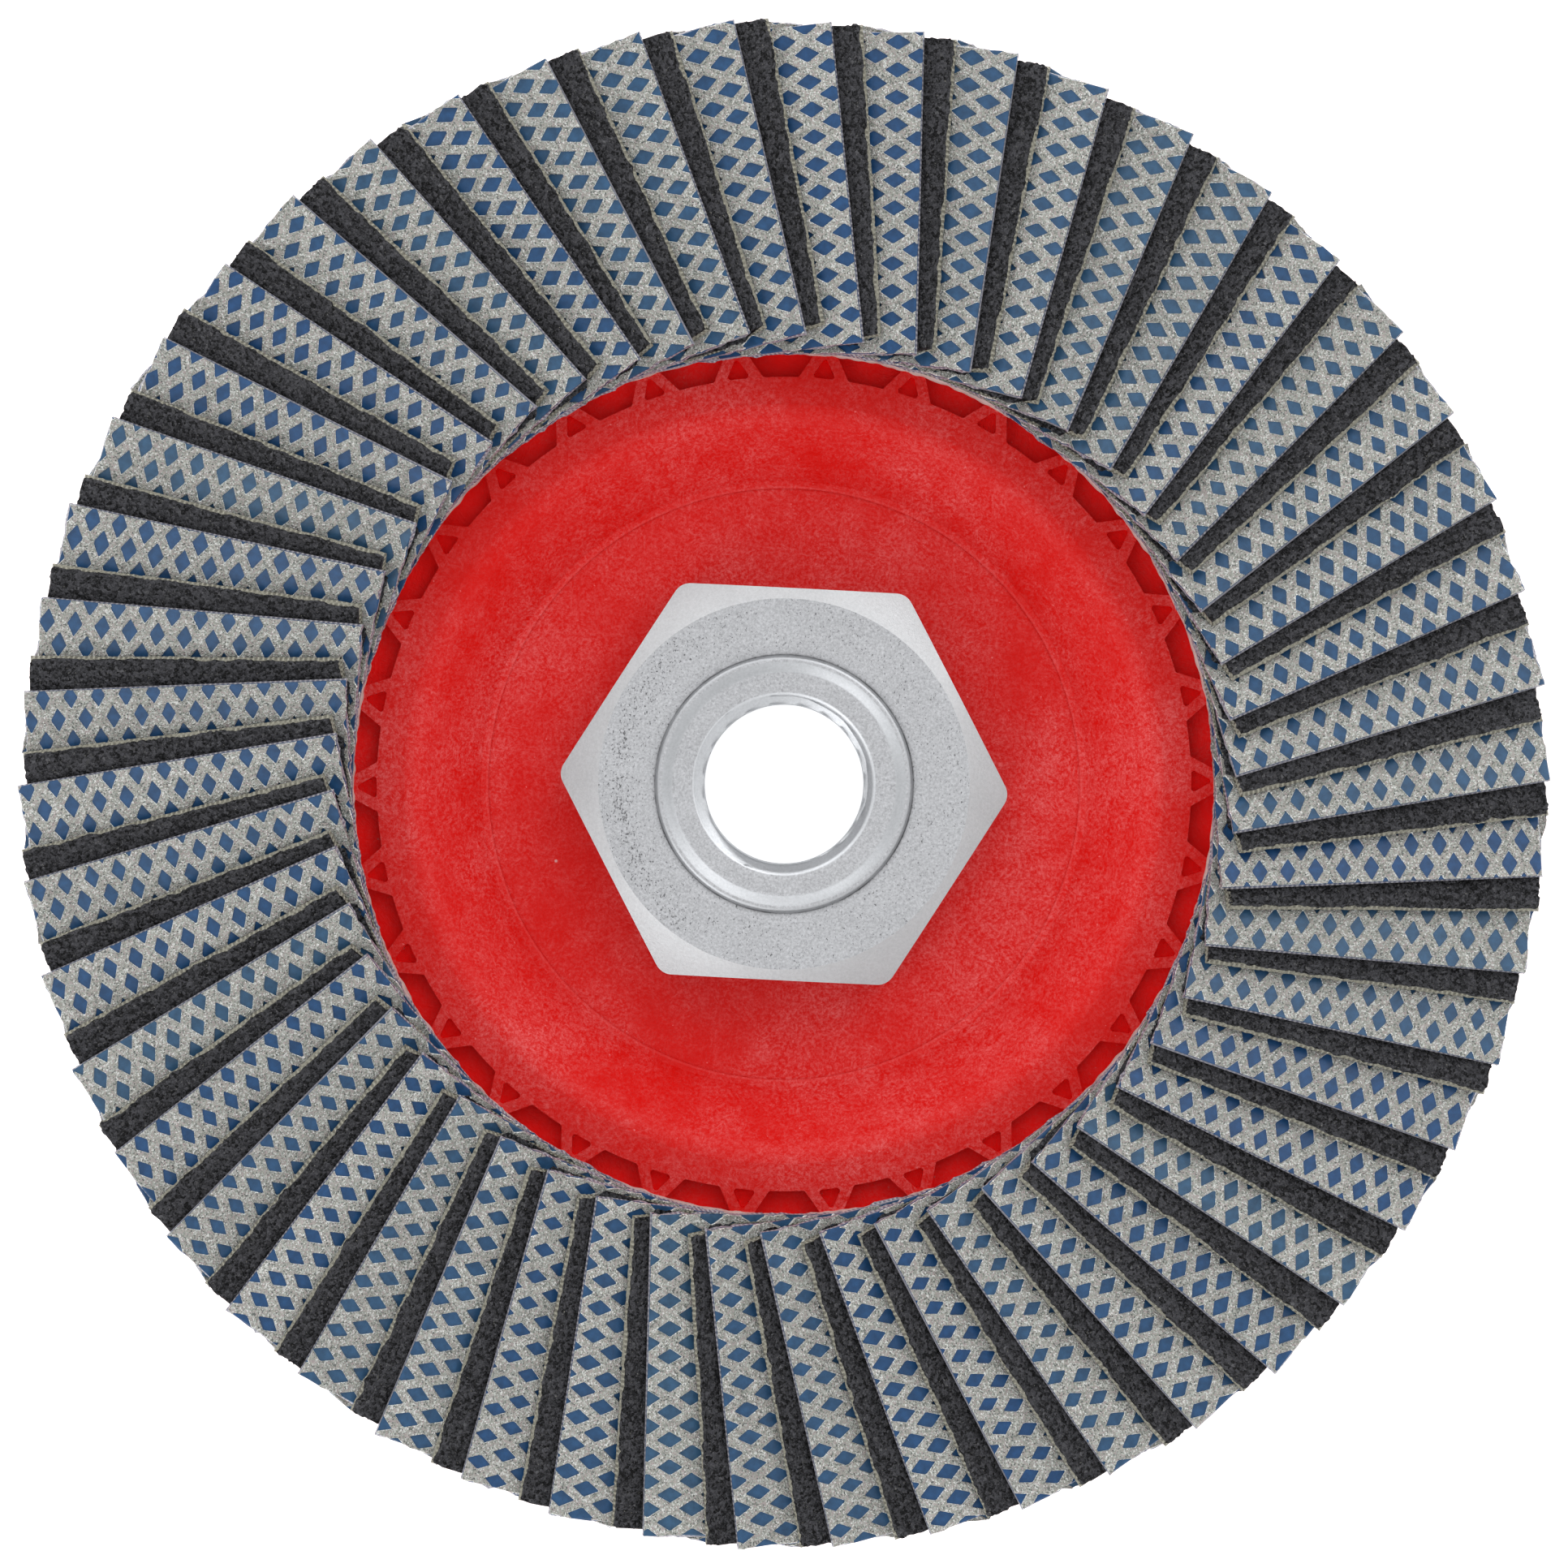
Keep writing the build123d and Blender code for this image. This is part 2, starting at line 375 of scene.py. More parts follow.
def grid_back(mesh):
    """Cuts the flat back of a diamond flap into a grid, so that it can follow the twist."""
    for axis, size in ((0, DIAMOND.length), (1, DIAMOND.width)):
        for cut in range(1, BACK_CUTS):
            back = [face for face in mesh.faces if all(v.co.z < 1e-6 for v in face.verts)]
            edges = {edge for face in back for edge in face.edges}
            corners = {vertex for face in back for vertex in face.verts}
            place = [0.0, 0.0, 0.0]
            outwards = [0.0, 0.0, 0.0]
            place[axis] = size * cut / BACK_CUTS
            outwards[axis] = 1.0
            bmesh.ops.bisect_plane(
                mesh,
                geom=list(corners) + list(edges) + back,
                dist=CUT_TOLERANCE,
                plane_co=place,
                plane_no=outwards,
            )


def diamond_strip(generator):
    """One diamond flap: a cloth slab, a coat of resin, and the raised lattice, in one shell."""
    points, faces, layers = lattice_cells(generator)
    mesh = bmesh.new()
    mark = mesh.faces.layers.float.new("layer")
    vertices = [mesh.verts.new(point) for point in points]
    for face, layer in zip(faces, layers):
        mesh.faces.new([vertices[index] for index in face])[mark] = layer
    bmesh.ops.remove_doubles(mesh, verts=mesh.verts, dist=POINT_MERGE)
    shift = generator.uniform(-END_SHIFT, END_SHIFT)
    width = DIAMOND.width - generator.uniform(0, NARROWING)
    trim(mesh, (shift, 0), (DIAMOND.length + shift, width))
    bmesh.ops.remove_doubles(mesh, verts=mesh.verts, dist=SLIVER_MERGE)
    rim = [edge for edge in mesh.edges if edge.is_boundary]
    rim = extrude_edges_to(mesh, rim, DIAMOND.cloth_level, EDGE, mark)
    rim = extrude_edges_to(mesh, rim, 0.0, EDGE, mark)
    bmesh.ops.holes_fill(mesh, edges=rim)
    grid_back(mesh)
    bmesh.ops.recalc_face_normals(mesh, faces=mesh.faces)
    mesh.verts.index_update()
    strip = Strip(
        [vertex.co[:] for vertex in mesh.verts],
        [[vertex.index for vertex in face.verts] for face in mesh.faces],
        [face[mark] for face in mesh.faces],
    )
    mesh.free()
    fray_ends(strip, (shift, DIAMOND.length + shift), generator)
    return strip


def fray_ends(strip, ends, generator):
    """Lets the layers wander a little, each on its own, where the strip is cut at its two ends."""
    points = strip.points
    grid = np.arange(-1, DIAMOND.width + 2 * END_FRAY_STEP, END_FRAY_STEP)
    for end in ends:
        at_end = np.abs(points[:, 0] - end) < END_REACH
        outward = math.copysign(1.0, end - DIAMOND.length / 2)
        for (low, high), splay in zip(END_BANDS, END_SPLAY):
            part = at_end & (points[:, 2] > low) & (points[:, 2] <= high)
            fray = splay * generator.uniform(0.3, 1, len(grid))
            fray += generator.normal(0, END_FRAY, len(grid))
            points[part, 0] += outward * np.interp(points[part, 1], grid, fray)


def grit_section():
    """Section of a grit flap, round from its root, as places across, heights and layers.
    Returns it with the number of places on the coat of grain."""
    hidden = GRIT.width - SHOWN_WIDTH
    shown_steps = int(SHOWN_WIDTH / GRAIN_STEP)
    coat = np.concatenate(
        (
            np.linspace(0, hidden, HIDDEN_STEPS, endpoint=False),
            np.linspace(hidden, GRIT.width - LEDGE, shown_steps),
        )
    )
    top, level = GRIT.thickness, GRIT.cloth_level
    section = [(place, top, GRAIN) for place in coat]
    section += [
        (GRIT.width - LEDGE * COAT_FOOT, (top + level) / 2 + COAT_SWELL, GRAIN),
        (GRIT.width - LEDGE * CLOTH_START, level, CLOTH),
        (GRIT.width, level * CLOTH_LIP, CLOTH),
    ]
    section += [(place, 0.0, CLOTH) for place in np.linspace(GRIT.width, 0, HIDDEN_STEPS)]
    section += [(0.0, level, GRAIN)]
    return section, len(coat)


def wander_ledge(points, coat, narrowing, generator):
    """Lets the free edge wander along the strip, in waves, in single threads and as a whole."""
    along = points[:, 0, 0]
    stations = len(along)
    waves = np.arange(-1, GRIT.length + 2, LEDGE_WAVE)
    edge = [np.interp(along, waves, generator.normal(0, 1, len(waves))) for _ in range(2)]
    edge = np.stack(edge, axis=1) + generator.normal(0, LEDGE_THREADS, (stations, 2))
    drift = np.cumsum(generator.normal(0, DRIFT_STEP, stations))
    drift -= np.linspace(0, drift[-1], stations)
    sway = LEDGE_WANDER * DRIFT_SHARE * (np.clip(drift / DRIFT_LIMIT, -1, 1) - 1) - narrowing
    for offset, size in enumerate(LEDGE_SIZES):
        points[:, coat - 1 + offset, 1] += sway + LEDGE_WANDER * size * edge[:, offset // 2]
    points[:, coat - 2, 1] += sway * 0.5
    points[:, coat + 3, 1] += sway


def wear_ends(points, coat, generator):
    """Rounds the free corners, frays both ends, and lets the inner end stick out."""
    worn_columns = slice(0, coat + 3)
    for end, sign in ((0, 1), (-1, -1)):
        from_edge = GRIT.width - points[end, worn_columns, 1]
        worn = CORNER_WEAR * np.clip(1 - from_edge / CORNER_REACH, 0, 1) ** 2
        ragged = END_WANDER * generator.uniform(0, 1, coat + 3)
        points[end, worn_columns, 0] += sign * (worn + ragged)
    from_edge = GRIT.width - points[0, :, 1]
    points[0, :, 0] -= np.interp(from_edge, INNER_LIP_PLACES, INNER_LIP)


def grit_strip(generator):
    """One grit flap: a strip of cloth with a frayed edge under a coat of coarse grain."""
    section, coat = grit_section()
    count = len(section)
    stations = int(GRIT.length / GRAIN_STEP)
    shift = generator.uniform(-END_SHIFT, END_SHIFT)
    narrowing = generator.uniform(0, NARROWING)
    points = np.empty((stations, count, 3))
    points[:, :, 0] = np.linspace(0, GRIT.length, stations)[:, None] + shift
    points[:, :, 1] = [place for place, _, _ in section]
    points[:, :, 2] = [height for _, height, _ in section]
    points[:, :coat, 2] -= GRAIN_DEPTH * generator.uniform(0, 1, (stations, coat)) ** 1.5
    wander_ledge(points, coat, narrowing, generator)
    points[:, 1:-1, 1] += generator.normal(0, GRAIN_WANDER[1], (stations, count - 2))
    points[1:-1, :, 0] += generator.normal(0, GRAIN_WANDER[0], (stations - 2, count))
    wear_ends(points, coat, generator)
    layers, faces = [], []
    for station in range(stations - 1):
        for column in range(count):
            a = station * count + column
            b = station * count + (column + 1) % count
            faces.append((a, b, b + count, a + count))
            layers.append(section[column][2])
    coat_ring = list(range(coat + 2)) + [count - 1]
    cloth_ring = list(range(coat + 1, count))
    for start, step in ((0, 1), ((stations - 1) * count, -1)):
        for ring, layer in ((coat_ring, GRAIN), (cloth_ring, CLOTH)):
            faces.append(tuple(start + index for index in ring[::-step]))
            layers.append(layer)
    return Strip(points.reshape(-1, 3), faces, layers)


def finish_mesh(data, smooth_angle):
    """Smooth shading up to an angle between faces."""
    data.validate()
    data.shade_smooth()
    data.set_sharp_from_angle(angle=math.radians(smooth_angle))
    data.update()


def add_piece(name, data, material, node):
    """Links a mesh as a piece that stands for one CAD node."""
    data.materials.append(material)
    piece = bpy.data.objects.new(name, data)
    bpy.context.scene.collection.objects.link(piece)
    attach(piece, "root")
    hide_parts(node)


def add_flaps(kind, make_strip, material, smooth_angle, generator):
    """All flaps of one kind, two to a piece as in the CAD."""
    for index in range(NODES_PER_KIND):
        node = f"{kind.node}_{index + 1:02d}"
        points, faces, layers, strips, tints = [], [], [], [], []
        for flap in range(FLAPS_PER_NODE):
            number = index * FLAPS_PER_NODE + flap
            strip = make_strip(generator)
            first = sum(len(block) for block in points)
            heading = math.radians(kind.heading + number * PAIR_PITCH)
            points.append(kind.place(strip.points, heading))
            faces += [[first + corner for corner in face] for face in strip.faces]
            layers += strip.layers
            strips.append(strip.points + (number * STRIP_SPACING, 0, 0))
            tints.append(np.tile(generator.uniform(0, 1, 3), (len(strip.points), 1)))
        data = bpy.data.meshes.new(f"{node}_detail")
        data.from_pydata(np.concatenate(points), [], faces)
        for label, kind_of_data, domain, key, values in (
            ("layer", "FLOAT", "FACE", "value", np.array(layers)),
            ("strip", "FLOAT_VECTOR", "POINT", "vector", np.concatenate(strips)),
            ("tint", "FLOAT_VECTOR", "POINT", "vector", np.concatenate(tints)),
        ):
            attribute = data.attributes.new(label, kind_of_data, domain)
            attribute.data.foreach_set(key, values.astype(np.float32).ravel())
        finish_mesh(data, smooth_angle)
        add_piece(f"{node}_detail", data, material, node)


# --- sleeve and glue -----------------------------------------------------------------------------


def thread_radius(phase):
    """Radius of the internal thread at a phase of its pitch: crest, flank, root, flank."""
    flank = (1 - THREAD_CREST - THREAD_ROOT) / 2
    places = np.cumsum((0, THREAD_CREST, flank, THREAD_ROOT, flank))
    share = np.interp(phase % 1, places, (0, 0, 1, 1, 0))
    return THREAD_MINOR + (THREAD_MAJOR - THREAD_MINOR) * share


def arc(centre, radius, start, end, steps):
    """Points of an arc in the profile plane, angles in degrees."""
    angles = np.radians(np.linspace(start, end, steps + 1))
    return [(centre[0] + radius * math.cos(a), centre[1] + radius * math.sin(a)) for a in angles]


def sleeve_outline():
    """Outside of the sleeve, from the rear mouth round the flange and the lip to the front mouth."""
    inset = FLANGE_RADIUS - FLANGE_ROUNDING
    fillet = SLEEVE_RADIUS + FLANGE_FILLET
    outline = [(MOUTH_RADIUS + MOUTH_BREAK, 0.0), (REAR_FACE_RING, 0.0), (inset, 0.0)]
    outline += arc((inset, FLANGE_ROUNDING), FLANGE_ROUNDING, -80, 0, 4)
    outline += arc((inset, FLANGE_THICKNESS - FLANGE_ROUNDING), FLANGE_ROUNDING, 0, 90, 5)
    outline += [(fillet, FLANGE_THICKNESS), (SLEEVE_RADIUS, FLANGE_THICKNESS + FLANGE_FILLET)]
    outline += [(SLEEVE_RADIUS, SLEEVE_TOP - LIP_RADIUS + SLEEVE_RADIUS)]
    outline += [(LIP_RADIUS, SLEEVE_TOP - LIP_EDGE)]
    outline += [(radius, SLEEVE_TOP + rise) for radius, rise in LIP_CROWN]
    outline += [(FRONT_FACE_RING, SLEEVE_TOP), (MOUTH_RADIUS + FRONT_BREAK, SLEEVE_TOP)]
    outline += [(MOUTH_RADIUS, SLEEVE_TOP - MOUTH_BREAK)]
    return outline


def ring_points(profile, sector, sectors):
    """A profile of radii and heights, turned to one sector of a ring."""
    angle = TURN * sector / sectors
    return [(r * math.cos(angle), r * math.sin(angle), z) for r, z in profile]


def ring_data(name, points, sectors, smooth_angle, clockwise=False):
    """Mesh of a closed ring from its sectors' points. Clockwise is how the profile runs, seen with
    radii to the right and heights up."""
    count = len(points) // sectors
    faces = []
    for sector in range(sectors):
        here = sector * count
        there = (sector + 1) % sectors * count
        for row in range(count):
            after = (row + 1) % count
            quad = (here + row, there + row, there + after, here + after)
            faces.append((quad[0], *quad[:0:-1]) if clockwise else quad)
    data = bpy.data.meshes.new(name)
    data.from_pydata(np.array(points) * MM, [], faces)
    finish_mesh(data, smooth_angle)
    return data


def make_sleeve(material):
    """Threaded sleeve with a helical thread in its bore."""
    outline = sleeve_outline()
    rows = int(SLEEVE_TOP / THREAD_PITCH * THREAD_STEPS)
    levels = np.linspace(SLEEVE_TOP - BORE_START, 0.0, rows)
    points = []
    for sector in range(SLEEVE_SECTORS):
        bore = []
        for level in levels:
            chamfer = MOUTH_RADIUS - min(level, SLEEVE_TOP - level)
            thread = thread_radius(level / THREAD_PITCH - sector / SLEEVE_SECTORS)
            bore.append((max(thread, chamfer, THREAD_MINOR), level))
        points += ring_points(outline + bore, sector, SLEEVE_SECTORS)
    data = ring_data("sleeve_detail", points, SLEEVE_SECTORS, SLEEVE_SMOOTH)
    add_piece("threaded_sleeve_detail", data, material, "threaded_sleeve")


def make_glue(material, generator):
    """Bed of glue with a lumpy bead along its inner edge."""
    waves = [
        (
            int(generator.integers(*GLUE_WAVE_COUNTS)),
            generator.uniform(0, TURN),
            generator.uniform(*GLUE_WAVE_SIZES),
        )
        for _ in range(GLUE_WAVES)
    ]
    outer = GLUE_RADII[1]
    points = []
    for sector in range(GLUE_SECTORS):
        angle = TURN * sector / GLUE_SECTORS
        wander = sum(size * math.sin(count * angle + phase) for count, phase, size in waves)
        wander /= GLUE_CALM
        inner = GLUE_RADII[0] + GLUE_INSET + GLUE_WANDER * wander
        top = GLUE_TOP - GLUE_SINK + GLUE_LUMPS * wander
        ring = [(inner + GLUE_UNDERCUT, GLUE_BOTTOM)]
        ring += [(inner + step, top - BEAD_DROP * math.exp(-step * BEAD_FALL)) for step in GLUE_STEPS]
        ring += [(outer, GLUE_TOP - GLUE_OUTER_DROP), (outer, GLUE_BOTTOM)]
        points += ring_points(ring, sector, GLUE_SECTORS)
    data = ring_data("glue_detail", points, GLUE_SECTORS, GLUE_SMOOTH, clockwise=True)
    add_piece("glue_ring_detail", data, material, "glue_ring")


# --- materials -----------------------------------------------------------------------------------


def linear(red, green, blue):
    """A colour given as sRGB bytes, as linear values with alpha."""
    return tuple(
        value / 12.92 if value <= 0.04045 else ((value + 0.055) / 1.055) ** 2.4
        for value in (red / 255, green / 255, blue / 255)
    ) + (1.0,)


CLOTH_THREAD = 0.42  # over and under, in millimetres
FIBRE_LEANS = (8, 52, 97, 141)  # degrees
PALE_GRAINS = (
    (0.0, linear(84, 88, 86)),
    (0.16, linear(135, 139, 133)),
    (0.4, linear(158, 158, 150)),
    (0.58, linear(160, 148, 148)),
    (0.8, linear(166, 171, 165)),
    (1.0, linear(214, 214, 212)),
)


class Painter:
    """One material and its node tree."""

    def __init__(self, name):
        self.material = bpy.data.materials.new(name)
        self.material.use_nodes = True
        self.tree = self.material.node_tree
        self.shader = self.tree.nodes["Principled BSDF"]

    def put(self, socket, value):
        """A value, or another node's output, into an input."""
        if isinstance(value, bpy.types.NodeSocket):
            self.tree.links.new(value, socket)
        else:
            socket.default_value = value

    def node(self, kind, inputs=None, **settings):
        """A node with its settings, and its inputs by name or number."""
        made = self.tree.nodes.new(kind)
        for name, value in settings.items():
            setattr(made, name, value)
        for name, value in (inputs or {}).items():
            self.put(made.inputs[name], value)
        return made

    def shade(self, **inputs):
        """Inputs of the shader, with underscores for the spaces in their names."""
        for name, value in inputs.items():
            self.put(self.shader.inputs[name.replace("_", " ")], value)

    def math(self, operation, *values):
        """The result of a math node."""
        made = self.node("ShaderNodeMath", dict(enumerate(values)), operation=operation)
        return made.outputs[0]

    def times(self, *factors):
        """The product of values."""
        return functools.reduce(functools.partial(self.math, "MULTIPLY"), factors)

    def plus(self, *terms):
        """The sum of values."""
        return functools.reduce(functools.partial(self.math, "ADD"), terms)

    def rest(self, share):
        """What is left of one."""
        return self.math("SUBTRACT", 1.0, share)

    def gap(self, value, level):
        """How far a value is from a level."""
        return self.math("ABSOLUTE", self.math("SUBTRACT", value, level))

    def above(self, value, level):
        """One where a value is over a level, and else zero."""
        return self.math("GREATER_THAN", value, level)

    def below(self, value, level):
        """One where a value is under a level, and else zero."""
        return self.math("LESS_THAN", value, level)

    def mix(self, share, low, high):
        """A blend of two colours."""
        made = self.node("ShaderNodeMix", data_type="RGBA", blend_type="MIX")
        self.put(made.inputs[0], share)
        self.put(made.inputs[6], low)
        self.put(made.inputs[7], high)
        return made.outputs[2]

    def tone(self, colour, factor):
        """A colour made lighter or darker by a factor."""
        if not isinstance(colour, bpy.types.NodeSocket):
            colour = colour[:3]
        made = self.node("ShaderNodeVectorMath", {0: colour, 3: factor}, operation="SCALE")
        return made.outputs[0]

    def spread(self, value, low, high, to_low=0.0, to_high=1.0, smooth=False):
        """A value from one range, clamped and mapped onto another."""
        made = self.node(
            "ShaderNodeMapRange",
            {0: value, 1: low, 2: high, 3: to_low, 4: to_high},
            interpolation_type="SMOOTHSTEP" if smooth else "LINEAR",
        )
        return made.outputs[0]

    def attribute(self, name, output):
        """A mesh attribute, from the output that suits its type."""
        return self.node("ShaderNodeAttribute", attribute_name=name).outputs[output]

    def noise(self, place, scale, detail, roughness):
        """Noise from 0 to 1, about 0.5."""
        made = self.node(
            "ShaderNodeTexNoise",
            {"Vector": place, "Scale": scale, "Detail": detail, "Roughness": roughness},
        )
        return made.outputs[0]

    def cells(self, place, scale):
        """Distance from the middle of each cell of a Voronoi texture, and its random channels."""
        made = self.node("ShaderNodeTexVoronoi", {"Vector": place, "Scale": scale})
        channels = self.node("ShaderNodeSeparateColor", {0: made.outputs["Color"]}).outputs
        return made.outputs["Distance"], channels

    def axes(self, place):
        """The three parts of a vector."""
        return self.node("ShaderNodeSeparateXYZ", {0: place}).outputs

    def radius(self, x, y):
        """Distance from the spin axis."""
        squares = [self.math("POWER", part, 2.0) for part in (x, y)]
        return self.math("SQRT", self.plus(*squares))

    def scaled(self, place, x, y, z):
        """A place stretched along its axes."""
        made = self.node("ShaderNodeVectorMath", {0: place, 1: (x, y, z)}, operation="MULTIPLY")
        return made.outputs[0]

    def bump(self, height, distance):
        """A normal from a height, with the depth in metres of its full range."""
        return self.node("ShaderNodeBump", {"Height": height, "Distance": distance}).outputs[0]

    def metres(self):
        """Place on the object, in metres."""
        return self.node("ShaderNodeTexCoord").outputs["Object"]


def cloth_colour(paint, place, light, dark):
    """Woven cloth: over-and-under threads, with fuzz. Returns its colour and the weave's height."""
    threads = [
        paint.math("SINE", paint.times(part, TURN / CLOTH_THREAD)) for part in paint.axes(place)[:2]
    ]
    weave = paint.spread(paint.times(*threads), -1.0, 1.0)
    fuzz = paint.noise(place, 9.0, 3.0, 0.7)
    share = paint.plus(paint.times(weave, 0.4), paint.times(fuzz, 0.6))
    return paint.mix(paint.spread(share, 0.25, 0.75), dark, light), weave


def ramp(paint, share, stops):
    """A colour from a list of places from 0 to 1 and their colours."""
    made = paint.node("ShaderNodeValToRGB", {0: share})
    elements = made.color_ramp.elements
    while len(elements) < len(stops):
        elements.new(0.5)
    for element, (position, colour) in zip(elements, stops):
        element.position = position
        element.color = colour
    return made.outputs[0]


def diamond_material():
    """Cloth, blue resin and pale grit of a diamond flap, by the layer each face is marked with."""
    paint = Painter("diamond_lattice")
    layer = paint.attribute("layer", "Fac")
    place = paint.attribute("strip", "Vector")
    tint = paint.axes(paint.attribute("tint", "Vector"))
    along, _, height = paint.axes(place)

    grain, channels = paint.cells(place, 9.0)
    patches = paint.noise(place, 0.9, 3.0, 0.6)
    grit_level = paint.plus(
        paint.spread(patches, 0.3, 0.7, 0.88, 1.08),
        paint.spread(tint[0], 0.0, 1.0, -0.07, 0.07),
    )
    grit_colour = paint.tone(ramp(paint, channels[0], PALE_GRAINS), grit_level)
    # Painted highlight: the walls of the holes, and the grit band on the flap's cut sides, are painted
    # up to 1.8 times paler.
    grit_colour = paint.tone(grit_colour, paint.spread(height, *LIT_WALL, 1.0, 1.8))

    blue = paint.mix(tint[1], linear(27, 66, 109), linear(47, 80, 109))
    cloud = paint.noise(place, 1.6, 4.0, 0.6)
    resin_colour = paint.tone(blue, paint.spread(cloud, 0.3, 0.7, 0.72, 1.2))

    # Painted shade: the cloth at the inner end is darker, for the shade in the gaps between flaps.
    # Only the first strip lies within this range, so the others keep the lighter cloth.
    shaded_inner_end = paint.spread(along, 1.0, 0.6)
    cloth, weave = cloth_colour(
        paint,
        place,
        paint.mix(shaded_inner_end, linear(180, 179, 184), linear(176, 172, 170)),
        paint.mix(shaded_inner_end, linear(84, 84, 104), linear(24, 22, 34)),
    )
    is_edge = paint.above(layer, EDGE - 0.5)
    is_grain, is_resin = (
        paint.plus(
            paint.times(is_edge, paint.above(height, level + 0.02)),
            paint.times(paint.rest(is_edge), paint.above(layer, mark - 0.5)),
        )
        for level, mark in ((RESIN_LEVEL, GRAIN), (DIAMOND.cloth_level, RESIN))
    )
    colour = paint.mix(is_resin, cloth, resin_colour)
    relief = paint.plus(
        paint.times(grain, -1.0, is_grain),
        paint.times(paint.rest(is_resin), weave),
    )
    paint.shade(
        Base_Color=paint.mix(is_grain, colour, grit_colour),
        Roughness=paint.plus(paint.times(is_grain, 0.22), 0.36),
        Normal=paint.bump(relief, 0.00009),
        Specular_IOR_Level=0.3,
    )
    return paint.material


def grit_material():
    """Cloth and dark grit of a grit flap."""
    paint = Painter("dark_grit")
    layer = paint.attribute("layer", "Fac")
    place = paint.attribute("strip", "Vector")
    tint = paint.axes(paint.attribute("tint", "Vector"))
    along, across, _ = paint.axes(place)

    grain, channels = paint.cells(place, 4.2)
    small = paint.noise(place, 7.0, 3.0, 0.7)
    level = paint.plus(
        paint.spread(channels[0], 0.0, 1.0, 0.1, 1.8),
        paint.spread(small, 0.34, 0.66, -0.7, 0.7),
        paint.spread(tint[0], 0.0, 1.0, -0.08, 0.08),
    )
    grit_colour = paint.tone(linear(54, 54, 57), paint.math("MAXIMUM", level, 0.08))
    # Painted glints: a few grains are painted a little paler.
    painted_sparkle = paint.times(paint.above(channels[1], 0.985), 0.12)
    grit_colour = paint.mix(painted_sparkle, grit_colour, linear(170, 170, 172))
    cloth, weave = cloth_colour(paint, place, linear(170, 168, 154), linear(98, 95, 86))

    # Only the first strip lies within this range, so the others have no torn inner corner.
    wear = paint.times(
        paint.spread(along, 0.7, 0.0, 0.0, 0.28),
        paint.above(across, GRIT.width - INNER_LIP_PLACES[0]),
    )
    is_grain = paint.times(paint.above(layer, GRAIN - 0.5), paint.below(paint.plus(wear, small), 0.68))
    relief = paint.plus(
        paint.times(paint.plus(paint.times(grain, -1.0), small), is_grain),
        paint.times(paint.rest(is_grain), weave),
    )
    paint.shade(
        Base_Color=paint.mix(is_grain, cloth, grit_colour),
        Roughness=paint.spread(channels[2], 0.0, 1.0, 0.45, 0.75),
        Normal=paint.bump(relief, 0.00014),
        Specular_IOR_Level=0.15,
    )
    return paint.material


def fibre_streaks(paint, place):
    """Short fibres in four directions, each in patches of its own."""
    layers = []
    for index, lean in enumerate(FIBRE_LEANS):
        turned = paint.node(
            "ShaderNodeMapping",
            {
                "Vector": place,
                "Location": (0.013 * index, 0.007 * index, 0),
                "Rotation": (0, 0, math.radians(lean)),
            },
        ).outputs[0]
        lines = paint.noise(paint.scaled(turned, 6000, 1500, 2000), 1.0, 2.0, 0.6)
        where = paint.noise(turned, 420.0 + 40 * index, 2.0, 0.5)
        patches = paint.spread(where, 0.40, 0.64, smooth=True)
        layers.append(paint.times(paint.spread(lines, 0.46, 0.74), patches))
    return functools.reduce(functools.partial(paint.math, "MAXIMUM"), layers)


def plastic_material():
    """Red plastic filled with short pale fibres that show at the surface."""
    paint = Painter("red_fibre_plastic")
    place = paint.metres()
    x, y, z = paint.axes(place)
    out = paint.radius(x, y)
    # Painted light: the pockets get a brighter, purer red, against the shade inside them, and less of
    # the pale fibre haze.
    pockets_painted_brighter = paint.times(
        paint.above(out, POCKET_RADII[0]),
        paint.below(out, POCKET_RADII[1]),
        paint.above(z, POCKET_LEVELS[0]),
        paint.below(z, POCKET_LEVELS[1]),
    )

    streaks = fibre_streaks(paint, place)
    fuzz = paint.noise(place, 3300.0, 4.0, 0.8)
    cloud = paint.noise(place, 75.0, 6.0, 0.72)
    flecks = paint.noise(place, 2600.0, 1.0, 0.5)
    pale_fibres_and_highlight = paint.times(
        paint.plus(paint.times(streaks, 0.7), paint.spread(fuzz, 0.45, 0.62, 0.0, 0.72)),
        paint.spread(cloud, 0.36, 0.66, 0.12, 1.0),
        paint.spread(pockets_painted_brighter, 0.0, 1.0, 1.0, 0.3),
        0.88,
    )
    # Pale flecks, and a painted highlight line along the step at STEP_RADIUS.
    pale_fibres_and_highlight = paint.plus(
        pale_fibres_and_highlight,
        paint.spread(flecks, 0.76, 0.84),
        paint.spread(paint.gap(out, STEP_RADIUS), *STEP_HIGHLIGHT, 0.0, 0.14),
    )
    plain = paint.mix(pockets_painted_brighter, linear(206, 9, 3), linear(255, 4, 2))
    colour = paint.mix(pale_fibres_and_highlight, plain, linear(224, 98, 98))
    from_chip = paint.node("ShaderNodeVectorMath", {0: place, 1: CHIP_PLACE}, operation="DISTANCE")
    chip = paint.spread(from_chip.outputs["Value"], CHIP_SIZE, 0.5 * CHIP_SIZE)
    pits = paint.noise(place, 1500.0, 3.0, 0.6)
    paint.shade(
        Base_Color=paint.mix(chip, colour, linear(214, 160, 158)),
        Roughness=paint.spread(streaks, 0.0, 1.0, 0.42, 0.6),
        Normal=paint.bump(paint.plus(paint.times(streaks, 0.5), pits), 0.00003),
        Specular_IOR_Level=0.12,
    )
    return paint.material


